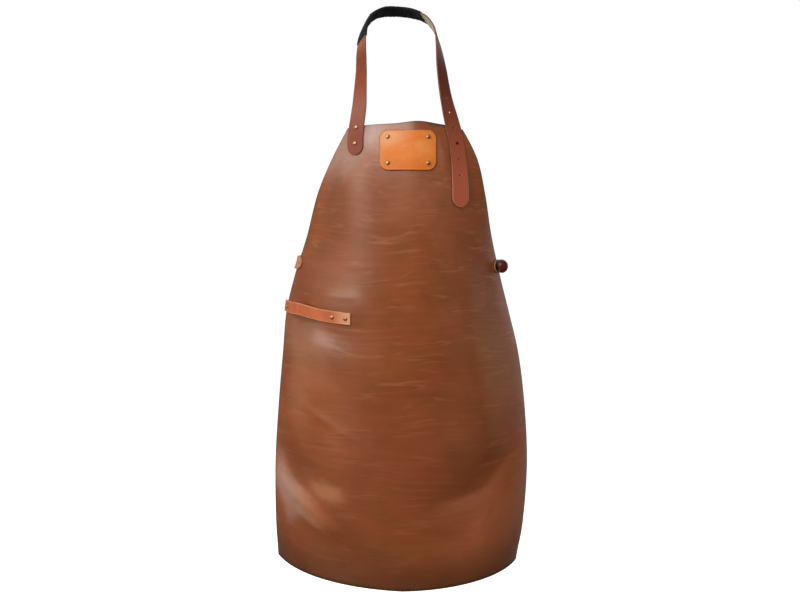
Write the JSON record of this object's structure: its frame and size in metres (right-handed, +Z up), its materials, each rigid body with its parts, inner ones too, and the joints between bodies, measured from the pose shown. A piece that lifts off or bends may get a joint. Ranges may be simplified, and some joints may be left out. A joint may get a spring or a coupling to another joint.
{
  "type": "leather apron",
  "caption": "Leather work apron with bib, riveted neck strap with padded sleeve, plain leather patch, towel strap at the hip and waist strap buttoned on a side knob, in its worn form.",
  "frame": {"origin": "the middle of the neck pad's inner face, where the apron hangs on the nape", "axes": "+Z up, +Y from the front of the apron towards the wearer's back, +X to the right as seen from the front"},
  "size_m": [0.4875, 0.2807, 1.0539],
  "materials": {
    "leather_brown": "semi-gloss pull-up leather",
    "leather_strap": "semi-gloss strap leather",
    "leather_towel": "satin strap leather",
    "leather_tan": "satin veg-tan leather",
    "leather_dark": "polished dark leather",
    "fabric_black": "matt woven",
    "brass_old": "antique"
  },
  "bodies": {
    "root": {"apron_body": "leather_brown", "neck_strap": "leather_strap", "neck_pad": "fabric_black", "neck_rivet_upper": "brass_old", "neck_rivet_lower": "brass_old", "neck_stud": "brass_old", "patch": "leather_tan", "patch_rivet_1": "brass_old", "patch_rivet_2": "brass_old", "patch_rivet_3": "brass_old", "patch_rivet_4": "brass_old", "towel_strap": "leather_towel", "towel_rivet_1": "brass_old", "towel_rivet_2": "brass_old", "towel_rivet_3": "brass_old", "waist_strap": "leather_strap", "waist_rivet": "brass_old", "waist_knob": "leather_dark"}
  },
  "joints": []
}
